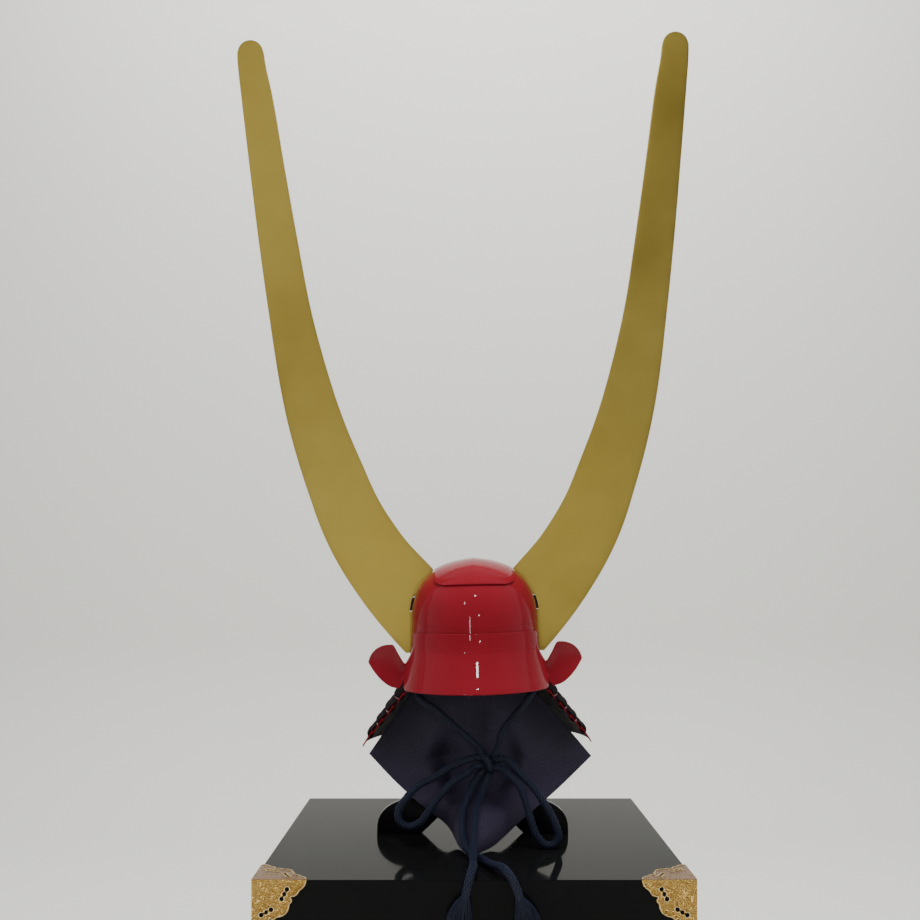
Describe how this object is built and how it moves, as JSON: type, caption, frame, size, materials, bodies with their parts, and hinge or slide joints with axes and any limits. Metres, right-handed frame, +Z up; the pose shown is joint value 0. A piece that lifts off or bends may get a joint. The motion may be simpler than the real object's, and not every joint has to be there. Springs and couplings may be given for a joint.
{
  "type": "horned helmet on a stand and chest",
  "caption": "Japanese kabuto helmet with tall flat gilt horns and a laced neck guard, hung with knotted cord and a cloth on a stand that rests on a black lacquered chest.",
  "frame": {"origin": "middle of the chest's underside, on the surface it stands on", "axes": "+Z up, +Y away from the viewer towards the back of the chest, +X to the viewer's right"},
  "size_m": [0.6069, 0.4704, 1.416],
  "materials": {
    "chest_lacquer": "glossy black lacquer on wood",
    "fitting_brass": "gilt, engraved",
    "stand_wood": "satin black lacquer on wood",
    "cloth": "stiff dark plum weave",
    "red_lacquer": "glossy dark red lacquer on steel",
    "gilt": "aged gold leaf on sheet metal",
    "iron": "dark lacquered iron",
    "cord": "braided dark navy silk"
  },
  "bodies": {
    "root": {"chest_body": "chest_lacquer", "chest_lid": "chest_lacquer", "corner_fitting_left": "fitting_brass", "corner_fitting_right": "fitting_brass", "stand_base_side": "stand_wood", "stand_base_front": "stand_wood", "stand_post": "stand_wood", "stand_head": "stand_wood", "cloth": "cloth", "bowl": "red_lacquer", "top_plate": "red_lacquer", "visor": "red_lacquer", "turnback_left": "red_lacquer", "turnback_right": "red_lacquer", "neck_row_1": "red_lacquer", "neck_row_2": "red_lacquer", "neck_row_3": "red_lacquer", "neck_row_4": "red_lacquer", "neck_row_5": "red_lacquer", "horn_left": "gilt", "horn_right": "gilt", "horn_bracket_left": "iron", "horn_bracket_right": "iron", "chin_strap": "cord", "bow_loop_left": "cord", "bow_loop_right": "cord", "tail_left": "cord", "tail_right": "cord", "knot": "cord", "tassel_left": "cord", "tassel_right": "cord"}
  },
  "joints": []
}
